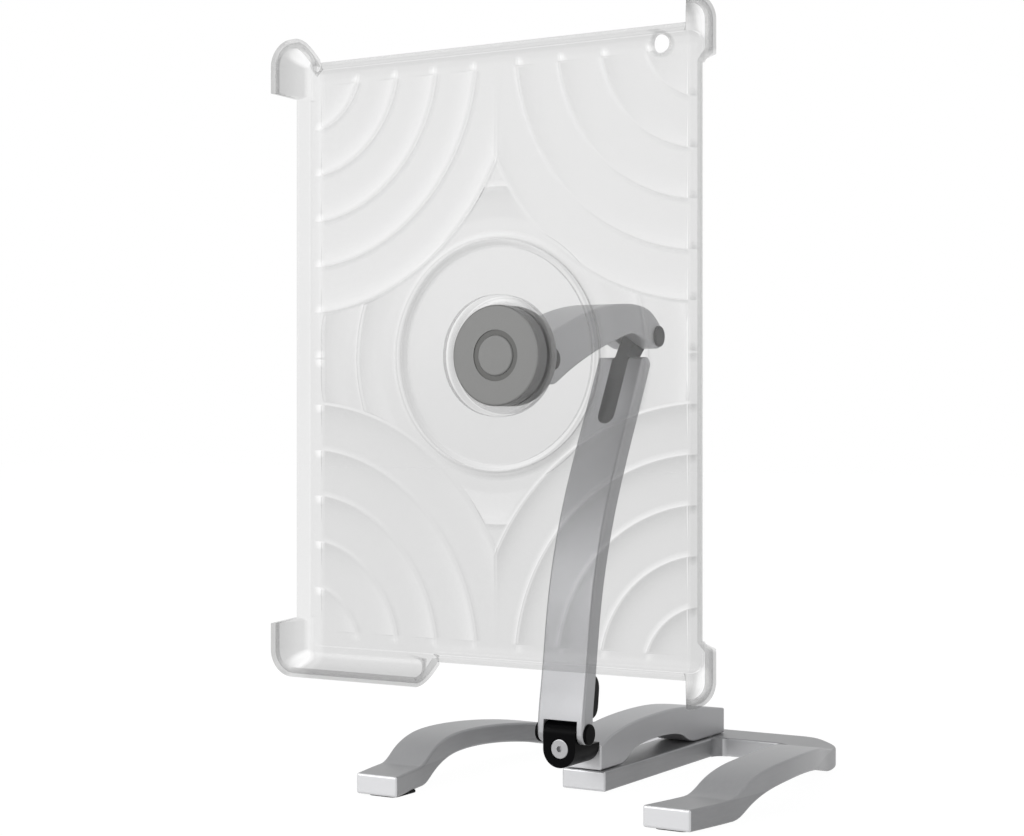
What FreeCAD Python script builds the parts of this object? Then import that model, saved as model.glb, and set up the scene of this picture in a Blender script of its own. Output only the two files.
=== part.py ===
import FreeCAD, Part
import math
import os

V = FreeCAD.Vector

# Every size is in millimetres. X is to the right, Y to the back, Z up from the ground.
# While building, Y is counted from the tray's rim. The shapes are then moved so that
# the origin is on the ground under the middle of the whole object.

# Tablet that the tray is made for
tablet_width = 185.7
tablet_height = 241.2
tablet_gap = 0.1

# Clearances
moving_gap = 0.3
pin_clearance = 0.05
bore_clearance = 0.05

# Base frame
pad_thickness = 0.8
bar_thickness = 8.0
leg_width = 19.2
foot_front_y = 20.0
foot_x = 62.7
crossbar_rear_y = 195.0
crossbar_width = 22.5
crossbar_near_y = crossbar_rear_y - crossbar_width
centre_bar_half = 9.75
centre_bar_front_y = 72.0
corner_fillet = 5.0
frame_edge = 0.9

# Swivel between the base and the arch bar
swivel_inset = 22.0
swivel_y = crossbar_rear_y - swivel_inset
swivel_shank_radius = 3.0
swivel_head_radius = 5.5
swivel_head_height = 2.6
swivel_washer_radius = 7.0
swivel_washer_thickness = 1.0

# Arch bar
arch_half = 7.9
arch_front_y = 72.0
arch_overhang = 11.6
arch_rear_y = swivel_y + arch_overhang
arch_front_drop = 7.0
arch_crest = 25.8
arch_edge = 0.7

# Base hinge
base_pivot = (57.4, 25.3)
arm_half = 10.35
arm_end_radius = 4.0
knuckle_half = 7.15
knuckle_radius = 4.6
knuckle_bottom = 12.2
knuckle_rear_top = 20.3
hinge_pin_radius = 2.0
cap_radius = 4.15
cap_height = 1.0
knuckle_screw_z = 19.5
knuckle_screw_radius = 2.0
knuckle_screw_head = 3.95
knuckle_screw_length = 27.0

# Lower arm
notch_ceiling = 5.3
slot_half = 3.7
slot_depth = 35.6
bumper_half = 9.4
bumper_height = 5.2

# Elbow
elbow_pivot = (116.4, 180.6)
elbow_radius = 5.0
elbow_cap_radius = 4.3
elbow_washer_thickness = 0.9

# Upper arm
tilt_pivot = (30.5, 169.3)
tilt_end_radius = 9.5
lug_half = 3.6
lug_radius = 7.0
tilt_pin_radius = 2.4
tilt_washer_thickness = 0.9

# Hub
hub_z = 170.2
puck_radius = 18.6
puck_front_y = 6.0
puck_rear_y = 19.4
puck_wall = 2.2
puck_cover_thickness = 2.0
button_radius = 7.5
button_ring_radius = 9.45
button_gap = 0.05
button_head_height = 1.6
spring_radius = 3.6
spring_wire = 0.45
spring_turns = 3.0

# Tray
clip_wall = 1.2
clip_half = tablet_width / 2 + tablet_gap + clip_wall
clip_height = tablet_height + 2 * (tablet_gap + clip_wall)
body_side_inset = 7.75
body_end_inset = 8.9
body_half = clip_half - body_side_inset
body_height = clip_height - 2 * body_end_inset
rim_depth = 7.4
panel_thickness = 1.7
rim_round = 6.4
rim_inner_round = 2.0
side_joint = 2.4
end_joint = 2.0
joint_round = 4.6
outline_round = 6.8
clip_front_y = -6.2
lip_thickness = 1.3
lip_reach = 2.4
clip_round = 10.0
clip_flat_y = -4.5
clip_lean = 0.477
clip_rear_round = 3.0
clip_side_length = 22.0
cut_corner_width = 11.6
ear_width = 23.1
ear_round = 11.0
long_lip_gap = 121.1
long_lip_chamfer = 8.6
end_slant = 0.7
camera_side_inset = 18.4
camera_top_inset = 5.5
camera_radius = 3.25
ring_radius = 42.3
ring_half_width = 2.1
disc_step = 1.5
collar_radius = 22.3
collar_front_y = 5.2
collar_rear_y = 12.0
lock_ring_thickness = 1.4
lock_groove_depth = 1.0
ripple_pitch = 17.5
ripple_first = 25.5
ripple_height = 0.8
ripple_border = 8.0
ripple_reach = 97.0
hub_ripple_first = 62.0
hub_ripple_last = 98.0


# Basic shapes
def box(x0, x1, y0, y1, z0, z1):
    return Part.makeBox(x1 - x0, y1 - y0, z1 - z0, V(x0, y0, z0))


def rod_x(y, z, radius, x0, x1):
    return Part.makeCylinder(radius, x1 - x0, V(x0, y, z), V(1, 0, 0))


def rod_y(x, z, radius, y0, y1):
    return Part.makeCylinder(radius, y1 - y0, V(x, y0, z), V(0, 1, 0))


def rod_z(x, y, radius, z0, z1):
    return Part.makeCylinder(radius, z1 - z0, V(x, y, z0), V(0, 0, 1))


def side_point(point, x=0.0):
    return V(x, point[0], point[1])


def curve(points, start=None, end=None):
    """A smooth curve through the points, leaving and arriving in the stated directions."""
    spline = Part.BSplineCurve()
    if start is None:
        spline.interpolate(points)
    else:
        spline.interpolate(Points=points, InitialTangent=start, FinalTangent=end)
    return spline.toShape()


def side_prism(edges, x0, x1):
    """A face bounded by edges drawn at X = 0 in the side view, pulled from x0 to x1."""
    face = Part.Face(Part.Wire(Part.__sortEdges__(edges)))
    face.translate(V(x0, 0, 0))
    return face.extrude(V(x1 - x0, 0, 0))


def side_polygon(points, x0, x1):
    corners = [side_point(point, x0) for point in points]
    face = Part.Face(Part.makePolygon(corners + [corners[0]]))
    return face.extrude(V(x1 - x0, 0, 0))


def around(pivot, offsets):
    """Side view points given by their offsets from a pivot."""
    return [(pivot[0] + dy, pivot[1] + dz) for dy, dz in offsets]


def along(start, end, level, steps):
    """Side view points at shares of the way from start to end, with rises above a level."""
    return [(start + (end - start) * share, level + rise) for share, rise in steps]


def mirrored(shape):
    return shape.mirror(V(0, 0, 0), V(1, 0, 0))


def fuse(shapes):
    body = shapes[0]
    for shape in shapes[1:]:
        body = body.fuse(shape)
    return body.removeSplitter()


def rounded_slab(half, z0, z1, y0, y1, outline_radius, rear_radius):
    """A slab standing in the X Z plane with round corners and a rounded rear edge."""
    slab = box(-half, half, y0, y1, z0, z1)
    upright = [e for e in slab.Edges if abs(e.tangentAt(e.FirstParameter).y) > 0.99]
    slab = slab.makeFillet(outline_radius, upright)
    rear = [e for e in slab.Edges if e.BoundBox.YMin > y1 - 0.01]
    return slab.makeFillet(rear_radius, rear)


def filleted(shape, radius, pick):
    return shape.makeFillet(radius, [edge for edge in shape.Edges if pick(edge)])


def save(name, shapes):
    middle_y = (clip_front_y + crossbar_rear_y) / 2
    moved = [shape.translated(V(0, -middle_y, 0)) for shape in shapes]
    result = moved[0] if len(moved) == 1 else Part.makeCompound(moved)
    result.exportStep("parts/" + name + ".step")


# Base
bar_bottom = pad_thickness
bar_top = bar_bottom + bar_thickness
arch_bottom = bar_top + moving_gap


def leg_centre():
    """Plan points along the middle of the right leg, from the foot to the rear corner."""
    bow = [(0.0, 0.0), (3.3, 15.0), (7.3, 40.0), (9.3, 60.0), (8.3, 80.0), (3.8, 107.0)]
    return [V(foot_x + dx, foot_front_y + dy, 0) for dx, dy in bow]


def leg_outline():
    """The U of both legs and the crossbar, seen from above."""
    centre = leg_centre()
    half = leg_width / 2
    outer = [p + V(half, 0, 0) for p in centre]
    outer += [V(foot_x + dx, crossbar_rear_y - dy, 0)
              for dx, dy in ((5.3, 37.0), (0.8, 19.0), (-8.7, 7.0), (-22.7, 0.0))]
    inner = [p - V(half, 0, 0) for p in centre]
    inner += [V(foot_x + dx, crossbar_near_y - dy, 0)
              for dx, dy in ((-13.2, 17.5), (-17.2, 5.5), (-26.7, 0.0))]
    outer_edge = curve(outer, V(0.22, 1, 0), V(-1, 0, 0))
    inner_edge = curve(inner, V(0.22, 1, 0), V(-1, 0, 0))
    foot = Part.makeLine(inner[0], outer[0])
    rear = Part.makeLine(outer[-1], mirrored_point(outer[-1]))
    near = Part.makeLine(inner[-1], mirrored_point(inner[-1]))
    edges = [outer_edge, inner_edge, foot, rear, near]
    edges += [mirrored(outer_edge), mirrored(inner_edge), mirrored(foot)]
    return Part.Face(Part.Wire(Part.__sortEdges__(edges)))


def mirrored_point(point):
    return V(-point.x, point.y, point.z)


def leg_side():
    """Side view of the legs: flat foot, long low arch, flat crossbar."""
    top = along(foot_front_y, crossbar_near_y, bar_top,
                [(0.144, 0.0), (0.223, 4.0), (0.302, 7.7), (0.407, 9.1), (0.623, 8.1),
                 (0.820, 4.2), (0.918, 1.1), (0.990, 0.0)])
    low = along(foot_front_y, crossbar_near_y, bar_bottom,
                [(0.164, 0.0), (0.230, 3.2), (0.308, 7.2), (0.420, 9.1), (0.630, 7.9),
                 (0.800, 3.8), (0.885, 1.1), (0.974, 0.0)])
    level = V(0, 1, 0)
    top_line = curve([side_point(p) for p in top], level, level)
    low_line = curve([side_point(p) for p in low], level, level)
    corners = [(foot_front_y - 1, bar_bottom), (foot_front_y - 1, bar_top)]
    far = [(crossbar_rear_y + 1, bar_top), (crossbar_rear_y + 1, bar_bottom)]
    path = [low[0], corners[0], corners[1], top[0]]
    edges = [Part.makeLine(side_point(a), side_point(b)) for a, b in zip(path, path[1:])]
    path = [top[-1], far[0], far[1], low[-1]]
    edges += [Part.makeLine(side_point(a), side_point(b)) for a, b in zip(path, path[1:])]
    half = foot_x + 2 * leg_width
    return side_prism(edges + [top_line, low_line], -half, half)


def inner_fillet(side):
    """The rounded corner between the centre bar and the crossbar."""
    x0 = side * centre_bar_half
    x1 = side * (centre_bar_half + corner_fillet)
    block = box(min(x0, x1), max(x0, x1), crossbar_near_y - corner_fillet, crossbar_near_y + 1,
                bar_bottom, bar_top)
    return block.cut(rod_z(x1, crossbar_near_y - corner_fillet, corner_fillet, 0, 30))


def joins_arch(edge):
    """True for an edge across a leg, where the flat foot or crossbar runs into the arch."""
    middle = edge.CenterOfMass
    ends = [vertex.Point for vertex in edge.Vertexes]
    across = len(ends) == 2 and abs(ends[0].y - ends[1].y) < 0.01 and abs(ends[0].z - ends[1].z) < 0.01
    return across and foot_front_y + 1 < middle.y < crossbar_near_y - 1


def base_frame():
    legs = leg_outline().extrude(V(0, 0, 40)).common(leg_side())
    legs = filleted(legs, frame_edge, lambda e: e.Length > 3.0 and not joins_arch(e))
    bar = box(-centre_bar_half, centre_bar_half, centre_bar_front_y, crossbar_rear_y - 5,
              bar_bottom, bar_top)
    bar = filleted(bar, frame_edge, lambda e: True)
    frame = fuse([legs, bar, inner_fillet(1), inner_fillet(-1)])
    bore = rod_z(0, swivel_y, swivel_shank_radius + bore_clearance, 0, 30)
    seat = rod_z(0, swivel_y, swivel_head_radius + moving_gap, 0, head_ceiling)
    return frame.cut(bore).cut(seat)


def foot_pads():
    pads = []
    rear_y = crossbar_rear_y - crossbar_width / 2
    for x, y, dx, dy in ((foot_x, foot_front_y + 11, 6.5, 8), (foot_x - leg_width + 1.5, rear_y, 9, 6.5)):
        for side in (-1, 1):
            pad = box(side * x - dx, side * x + dx, y - dy, y + dy, 0, pad_thickness)
            pads.append(filleted(pad, 2.5, lambda e: abs(e.tangentAt(e.FirstParameter).z) > 0.99))
    return pads


# Swivel
head_bottom = bar_bottom + 0.8
head_top = head_bottom + swivel_head_height
head_ceiling = head_top + bore_clearance
washer_top = bar_top + swivel_washer_thickness
shank_top = bar_top + 8.0


def swivel_bolt():
    head = rod_z(0, swivel_y, swivel_head_radius, head_bottom, head_top)
    head = filleted(head, 0.5, lambda e: e.BoundBox.ZMax < head_bottom + 0.01)
    socket = Part.Face(hexagon(0, swivel_y, 1.8, head_bottom)).extrude(V(0, 0, 1.6))
    shank = rod_z(0, swivel_y, swivel_shank_radius, head_top, shank_top)
    return fuse([head, shank]).cut(socket)


def hexagon(x, y, radius, z):
    corners = [V(x + radius * math.cos(k * math.pi / 3), y + radius * math.sin(k * math.pi / 3), z)
               for k in range(7)]
    return Part.makePolygon(corners)


def swivel_washer():
    ring = rod_z(0, swivel_y, swivel_washer_radius, bar_top, washer_top)
    return ring.cut(rod_z(0, swivel_y, swivel_shank_radius + bore_clearance, 0, 30))


def arch_bar():
    top = along(arch_front_y, arch_rear_y, arch_crest,
                [(0.0, -arch_front_drop), (0.071, -4.4), (0.160, -2.2), (0.272, -0.8),
                 (0.373, -0.2), (0.515, 0.0), (0.675, -0.9), (0.853, -3.5), (1.0, -6.0)])
    low = along(arch_front_y, arch_rear_y, arch_bottom,
                [(0.142, 0.0), (0.231, 3.5), (0.355, 6.1), (0.506, 6.2), (0.648, 3.7), (0.764, 0.0)])
    level = V(0, 1, 0)
    top_line = curve([side_point(p) for p in top], V(0, 1, 0.33), V(0, 1, -0.15))
    low_line = curve([side_point(p) for p in low], level, level)
    lines = [(top[0], (arch_front_y, arch_bottom)), ((arch_front_y, arch_bottom), low[0]),
             (low[-1], (arch_rear_y, arch_bottom)), ((arch_rear_y, arch_bottom), top[-1])]
    edges = [Part.makeLine(side_point(a), side_point(b)) for a, b in lines]
    bar = side_prism(edges + [top_line, low_line], -arch_half, arch_half)
    bar = filleted(bar, arch_edge, lambda e: e.Length > 5)
    bar = bar.cut(rod_z(0, swivel_y, swivel_shank_radius, 0, shank_top))
    recess = swivel_washer_radius + moving_gap
    bar = bar.cut(rod_z(0, swivel_y, recess, 0, washer_top + bore_clearance))
    return bar.cut(knuckle_screw_shank())


# Base hinge
knuckle_front_y = base_pivot[0] - knuckle_radius


def base_knuckle():
    """Black barrel with a round underside, held to the arch bar by one screw."""
    middle = knuckle_bottom + knuckle_half
    barrel = rod_y(0, middle, knuckle_half, knuckle_front_y, arch_front_y)
    cheek = box(-knuckle_half, knuckle_half, knuckle_front_y, base_pivot[0], middle, base_pivot[1])
    tail = box(-knuckle_half, knuckle_half, base_pivot[0], arch_front_y, middle, knuckle_rear_top)
    low = box(-knuckle_half, knuckle_half, knuckle_front_y, arch_front_y, 0, knuckle_rear_top)
    eye = rod_x(base_pivot[0], base_pivot[1], knuckle_radius, -knuckle_half, knuckle_half)
    neck = box(-knuckle_half, knuckle_half, knuckle_front_y, base_pivot[0] + knuckle_radius,
               middle, base_pivot[1])
    body = fuse([barrel.common(low), cheek, tail, eye, neck])
    bore = rod_x(base_pivot[0], base_pivot[1], hinge_pin_radius + pin_clearance, -20, 20)
    head = rod_y(0, knuckle_screw_z, knuckle_screw_head, 0, screw_head_rear)
    return body.cut(bore).cut(head).cut(knuckle_screw_shank())


screw_head_rear = knuckle_front_y + 2.2


def knuckle_screw_shank():
    rear = screw_head_rear + knuckle_screw_length
    return rod_y(0, knuckle_screw_z, knuckle_screw_radius, screw_head_rear, rear)


def knuckle_screw():
    front = knuckle_front_y + 0.2
    head = rod_y(0, knuckle_screw_z, knuckle_screw_head, front, screw_head_rear)
    head = filleted(head, 0.5, lambda e: e.BoundBox.YMax < front + 0.01)
    socket = Part.Face(hexagon(0, 0, 1.3, 0)).extrude(V(0, 0, 1.4))
    socket.rotate(V(0, 0, 0), V(1, 0, 0), -90)
    socket.translate(V(0, front, knuckle_screw_z))
    return fuse([head, knuckle_screw_shank()]).cut(socket)


def base_hinge_pin():
    return rod_x(base_pivot[0], base_pivot[1], hinge_pin_radius, -arm_half, arm_half)


def end_caps(pivot, radius, x):
    """A domed cap on each outer side of a hinge."""
    caps = []
    for side in (-1, 1):
        cap = rod_x(pivot[0], pivot[1], radius, x, x + cap_height)
        cap = filleted(cap, cap_height * 0.6, lambda e: e.BoundBox.XMin > x + cap_height - 0.01)
        caps.append(cap if side > 0 else mirrored(cap))
    return caps


# Lower arm
arm_front = around(base_pivot, [(-arm_end_radius, 0.0), (-3.4, 7.7), (-1.5, 18.7), (3.7, 50.6),
                                (16.3, 89.4)])
arm_front += around(elbow_pivot, [(-28.9, -38.2), (-13.8, -9.7)])
arm_rear = around(base_pivot, [(arm_end_radius, 0.0), (4.4, 6.7), (6.0, 17.5), (11.2, 48.9),
                               (23.4, 86.5)])
arm_rear += around(elbow_pivot, [(-22.1, -41.6), (-7.1, -13.3)])
slot_bottom = elbow_pivot[1] - slot_depth


def arm_profile(x0, x1):
    """The bowed side view of the lower arm, round about the base pivot."""
    bottom = Part.Arc(side_point(arm_front[0]),
                      V(0, base_pivot[0], base_pivot[1] - arm_end_radius),
                      side_point(arm_rear[0])).toShape()
    front = curve([side_point(p) for p in arm_front])
    rear = curve([side_point(p) for p in arm_rear])
    lean = V(0, arm_front[-1][0] - arm_rear[-1][0], arm_front[-1][1] - arm_rear[-1][1])
    out = V(0, -lean.z, lean.y).normalize() * -2.6
    tip = side_point(arm_front[-1]) - lean * 0.5 + out
    top = Part.Arc(side_point(arm_front[-1]), tip, side_point(arm_rear[-1])).toShape()
    return side_prism([bottom, front, rear, top], x0, x1)


def lower_arm():
    arm = arm_profile(-arm_half, arm_half)
    arm = filleted(arm, 1.0, lambda e: e.Length > 30)
    half = knuckle_half + moving_gap
    notch = box(-half, half, base_pivot[0] - 20, base_pivot[0] + 20, 0, base_pivot[1] + notch_ceiling)
    bore = rod_x(base_pivot[0], base_pivot[1], hinge_pin_radius, -arm_half, arm_half)
    return arm.cut(notch).cut(slot_space()).cut(bore)


def slot_space():
    """The slot in the arm's top end: round at the bottom, open at the top."""
    front = elbow_pivot[0] - 2 * slot_depth
    rear = elbow_pivot[0] + slot_depth
    slot = box(-slot_half, slot_half, front, rear, slot_bottom + slot_half, elbow_pivot[1] + 10)
    return slot.fuse(rod_y(0, slot_bottom + slot_half, slot_half, front, rear))


def arm_bumper():
    """Black rubber stop on the rear of the lower arm, just above the base hinge."""
    outline = around(base_pivot, [(3.6, 5.5), (4.0 + bumper_height, 8.6), (4.8 + bumper_height, 13.2),
                                  (5.2 + bumper_height, 16.7), (5.8, 22.7)])
    back = curve([side_point(p) for p in outline])
    close = Part.makeLine(side_point(outline[-1]), side_point(outline[0]))
    pad = side_prism([back, close], -bumper_half, bumper_half)
    return pad.cut(arm_profile(-arm_half, arm_half))


# Elbow
def slot_filler():
    """The part of the lower arm's side view that lies in its slot."""
    return arm_profile(-slot_half, slot_half).common(slot_space())


def elbow_knuckle():
    """Black tongue set in the slot of the lower arm; its eye carries the elbow pin."""
    half = slot_half - elbow_washer_thickness
    neck = side_polygon(around(elbow_pivot, [(-17.9, -17.4), (-13.8, -9.7), (-4.0, 3.0),
                                             (3.4, -3.7), (-7.1, -13.3), (-11.2, -21.1)]),
                        -half, half)
    eye = rod_x(elbow_pivot[0], elbow_pivot[1], elbow_radius, -half, half)
    body = fuse([slot_filler(), neck, eye])
    bore = rod_x(elbow_pivot[0], elbow_pivot[1], hinge_pin_radius + pin_clearance, -half, half)
    return body.cut(bore)


def hinge_washers(pivot, inner, outer_radius, bore_radius, thickness):
    washers = []
    for side in (-1, 1):
        ring = rod_x(pivot[0], pivot[1], outer_radius, inner, inner + thickness)
        ring = ring.cut(rod_x(pivot[0], pivot[1], bore_radius, -30, 30))
        washers.append(ring if side > 0 else mirrored(ring))
    return washers


def elbow_washers():
    half = slot_half - elbow_washer_thickness
    return hinge_washers(elbow_pivot, half, elbow_radius - 0.6, hinge_pin_radius + pin_clearance,
                         elbow_washer_thickness)


def elbow_pin():
    return rod_x(elbow_pivot[0], elbow_pivot[1], hinge_pin_radius, -arm_half, arm_half)


def knuckle_grub():
    """Cross screw that holds the tongue in the slot of the lower arm."""
    return rod_x(elbow_pivot[0] - 18.9, elbow_pivot[1] - 27.1, 1.5, -8.0, 8.0)


# Upper arm
def upper_arm():
    """The bowed upper arm: tall at the hub, slender at the elbow, rounded at both ends."""
    top = around(tilt_pivot, [(-3.1, 9.0), (1.1, 10.5), (12.5, 14.4), (29.2, 19.3)])
    top += around(elbow_pivot, [(-41.4, 10.9), (-26.4, 12.2), (-13.0, 11.8), (-4.4, 9.4),
                                (2.0, 5.0), (elbow_radius, 0.0)])
    low = around(elbow_pivot, [(-0.4, -elbow_radius), (-7.4, -3.2), (-14.4, -0.6), (-19.5, 0.4),
                               (-30.6, -1.4)])
    low += around(tilt_pivot, [(35.2, 4.1), (12.5, -4.6), (3.3, -8.9)])
    turn = (elbow_pivot[0] + elbow_radius * 0.71, elbow_pivot[1] - elbow_radius * 0.71)
    front = (tilt_pivot[0] - tilt_end_radius, tilt_pivot[1] - 0.6)
    edges = [curve([side_point(p) for p in top], V(0, 1, 0.36), V(0, 0, -1)),
             curve([side_point(p) for p in low], V(0, -1, 0.1), V(0, -0.9, -0.42)),
             Part.Arc(side_point(top[-1]), side_point(turn), side_point(low[0])).toShape(),
             Part.Arc(side_point(top[0]), side_point(front), side_point(low[-1])).toShape()]
    arm = side_prism(edges, -arm_half, arm_half)
    arm = filleted(arm, 1.2, lambda e: e.Length > 3 and not lies_across(e))
    arm = arm.cut(elbow_notch()).cut(tilt_notch())
    arm = arm.cut(elbow_pin())
    return arm.cut(tilt_pin())


def lies_across(edge):
    return abs(edge.tangentAt(edge.FirstParameter).x) > 0.5


def elbow_notch():
    """Space for the tongue: open below, and as high as its eye needs when the arm folds."""
    half = slot_half + bore_clearance
    reach = elbow_radius + 2 * moving_gap
    low = box(-half, half, elbow_pivot[0] - 17.9, elbow_pivot[0], elbow_pivot[1] - 20,
              elbow_pivot[1] + reach)
    eye = rod_x(elbow_pivot[0], elbow_pivot[1], reach, -half, half)
    rear = box(-half, half, elbow_pivot[0], elbow_pivot[0] + 10, elbow_pivot[1] - 20,
               elbow_pivot[1] + 2.0)
    return fuse([low, eye, rear])


def tilt_notch():
    """Mouth of the fork: round behind the pin, open in front of it."""
    half = lug_half + tilt_washer_thickness + bore_clearance
    eye = rod_x(tilt_pivot[0], tilt_pivot[1], lug_radius + moving_gap, -half, half)
    mouth = box(-half, half, puck_rear_y - 5, tilt_pivot[0], tilt_pivot[1] - 20, tilt_pivot[1] + 20)
    return fuse([eye, mouth])


def tilt_pin():
    return rod_x(tilt_pivot[0], tilt_pivot[1], tilt_pin_radius, -arm_half, arm_half)


# Hub
def puck_cover():
    """Rear cover of the hub with the lug that the upper arm's fork holds."""
    front = puck_rear_y - puck_cover_thickness
    disc = rod_y(0, hub_z, puck_radius, front, puck_rear_y)
    disc = filleted(disc, 0.9, lambda e: e.BoundBox.YMin > puck_rear_y - 0.01)
    lug = box(-lug_half, lug_half, puck_rear_y - 1, tilt_pivot[0], tilt_pivot[1] - 6,
              tilt_pivot[1] + 6)
    eye = rod_x(tilt_pivot[0], tilt_pivot[1], lug_radius, -lug_half, lug_half)
    body = fuse([disc, lug, eye])
    body = body.cut(rod_x(tilt_pivot[0], tilt_pivot[1], tilt_pin_radius + pin_clearance, -20, 20))
    body = body.cut(rod_y(0, hub_z, stem_radius + moving_gap, 0, puck_rear_y - 0.8))
    for place in screw_places():
        body = body.cut(rod_y(place[0], place[1], puck_screw_radius, 0, 40))
        body = body.cut(rod_y(place[0], place[1], puck_screw_head, puck_rear_y - 1.0, 40))
    return body


puck_screw_radius = 1.0
puck_screw_head = 1.9
puck_screw_circle = 12.6
stem_radius = 2.6


def screw_places():
    places = []
    for k in range(3):
        angle = math.radians(90 + 120 * k)
        places.append((puck_screw_circle * math.cos(angle), hub_z + puck_screw_circle * math.sin(angle)))
    return places


def puck_screws():
    screws = []
    for x, z in screw_places():
        head = rod_y(x, z, puck_screw_head, puck_rear_y - 1.0, puck_rear_y - 0.1)
        shank = rod_y(x, z, puck_screw_radius, puck_rear_y - 8.0, puck_rear_y - 1.0)
        slot = box(x - 1.4, x + 1.4, puck_rear_y - 0.5, puck_rear_y, z - 0.25, z + 0.25)
        screws.append(fuse([head, shank]).cut(slot))
    return screws


def puck_housing():
    rear = puck_rear_y - puck_cover_thickness
    body = rod_y(0, hub_z, puck_radius, puck_front_y, rear)
    body = filleted(body, 0.8, lambda e: e.BoundBox.YMax < puck_front_y + 0.01)
    inside = rod_y(0, hub_z, puck_radius - puck_wall, puck_front_y + puck_wall, rear)
    for x, z in screw_places():
        inside = inside.cut(rod_y(x, z, puck_screw_head + 0.6, puck_front_y, rear))
    body = body.cut(inside)
    body = body.cut(rod_y(0, hub_z, button_ring_radius, 0, puck_front_y + puck_wall))
    groove = rod_y(0, hub_z, puck_radius + 5, collar_rear_y - moving_gap,
                   collar_rear_y + lock_ring_thickness + moving_gap)
    groove = groove.cut(rod_y(0, hub_z, puck_radius - lock_groove_depth, 0, 40))
    body = body.cut(groove)
    for x, z in screw_places():
        body = body.cut(rod_y(x, z, puck_screw_radius, puck_rear_y - 8.0, 40))
    return body


def button_ring():
    """Dark ring round the button, set in the front of the housing."""
    rear = puck_front_y + puck_wall
    ring = rod_y(0, hub_z, button_ring_radius, puck_front_y + 0.3, rear)
    return ring.cut(rod_y(0, hub_z, button_radius + button_gap, 0, 40))


def release_button():
    front = puck_front_y - 0.2
    head = rod_y(0, hub_z, button_radius, front, puck_front_y + puck_wall + button_head_height)
    head = filleted(head, 0.6, lambda e: e.BoundBox.YMax < front + 0.01)
    stem = rod_y(0, hub_z, stem_radius, puck_front_y + 2, spring_seat_y + 4.0)
    return fuse([head, stem])


spring_seat_y = puck_front_y + puck_wall + button_head_height
spring_length = puck_rear_y - puck_cover_thickness - spring_seat_y


def button_spring():
    """A short coil spring; its wire has a six-sided section."""
    travel = spring_length - 2 * spring_wire
    helix = Part.makeHelix(travel / spring_turns, travel, spring_radius)
    corners = []
    for k in range(7):
        angle = k * math.pi / 3
        corners.append(V(spring_radius + spring_wire * math.cos(angle), 0, spring_wire * math.sin(angle)))
    coil = Part.Wire(helix.Edges).makePipeShell([Part.makePolygon(corners)], True, True)
    coil.rotate(V(0, 0, 0), V(1, 0, 0), -90)
    coil.translate(V(0, spring_seat_y + spring_wire, hub_z))
    return coil


# Tray
tray_bottom = hub_z - body_height / 2
tray_top = hub_z + body_height / 2
clip_bottom = hub_z - clip_height / 2
clip_top = hub_z + clip_height / 2
panel_front_y = rim_depth - panel_thickness


def tray_body():
    """The dished panel, curved forward to its rim all the way round."""
    outer = rounded_slab(body_half, tray_bottom, tray_top, 0, rim_depth, outline_round, rim_round)
    wall = panel_thickness
    inner = rounded_slab(body_half - wall, tray_bottom + wall, tray_top - wall, -2, panel_front_y,
                         outline_round - wall, rim_inner_round)
    return outer.cut(inner)


def clip_section(y, inset):
    """Outline of the clips' outer face at that depth, drawn in by the inset."""
    drawn_in = inset + clip_lean * max(0, y - clip_flat_y)
    x = clip_half - drawn_in
    z = clip_height / 2 - drawn_in
    radius = clip_round - drawn_in
    diagonal = radius * (1 - math.sqrt(0.5))
    edges = []
    for turn in range(4):
        side, height = (x, z) if turn % 2 == 0 else (z, x)
        low, high = V(side, y, radius - height), V(side, y, height - radius)
        corner = Part.Arc(high, V(side - diagonal, y, height - diagonal), V(side - radius, y, height))
        for edge in (Part.makeLine(low, high), corner.toShape()):
            edge.rotate(V(0, 0, 0), V(0, 1, 0), -90 * turn)
            edges.append(edge.translated(V(0, 0, hub_z)))
    return Part.Wire(edges)


def clip_slab(front, rear, inset):
    """A slab bounded by the clips' leaning faces, with a rounded rear edge."""
    depths = (front, clip_flat_y, rear)
    slab = Part.makeLoft([clip_section(y, inset) for y in depths], True, True)
    edge = [e for e in slab.Edges if e.BoundBox.YMin > rear - 0.01]
    return slab.makeFillet(clip_rear_round - inset, edge)


def clip_hollow():
    """The room for the tablet between the lips of the clips and the panel."""
    return clip_slab(clip_front_y + lip_thickness, panel_front_y, clip_wall)


def clip_shell():
    """A shell round the whole tablet, of which only the corner clips are kept."""
    reach = lip_reach + clip_wall
    mouth = rounded_slab(clip_half - reach, clip_bottom + reach, clip_top - reach,
                         clip_front_y - 1, clip_front_y + lip_thickness + 3, clip_round - clip_wall, 0.5)
    return clip_slab(clip_front_y, rim_depth, 0).cut(clip_hollow()).cut(mouth)


def slanted_prism(points, slanted):
    """A front view outline from front to back, whose marked corners move to the left behind."""
    wires = []
    for y in (clip_front_y - 1, rim_depth + 1):
        shift = end_slant * (y - clip_front_y)
        corners = [V(x - shift * moves, y, z) for (x, z), moves in zip(points, slanted)]
        wires.append(Part.makePolygon(corners + [corners[0]]))
    return Part.makeLoft(wires, True, True)


def ear_outline(far, top):
    """Front view of the ear: square to the left, a round arch on the right."""
    edge = ear_width - clip_half
    middle = edge - ear_round
    crown = clip_top
    points = [(-far, top), (-far, crown - clip_side_length), (edge, crown - clip_side_length)]
    for k in range(9):
        angle = k * math.pi / 16
        points.append((middle + ear_round * math.cos(angle), crown - ear_round * (1 - math.sin(angle))))
    return points + [(middle, top)]


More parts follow.
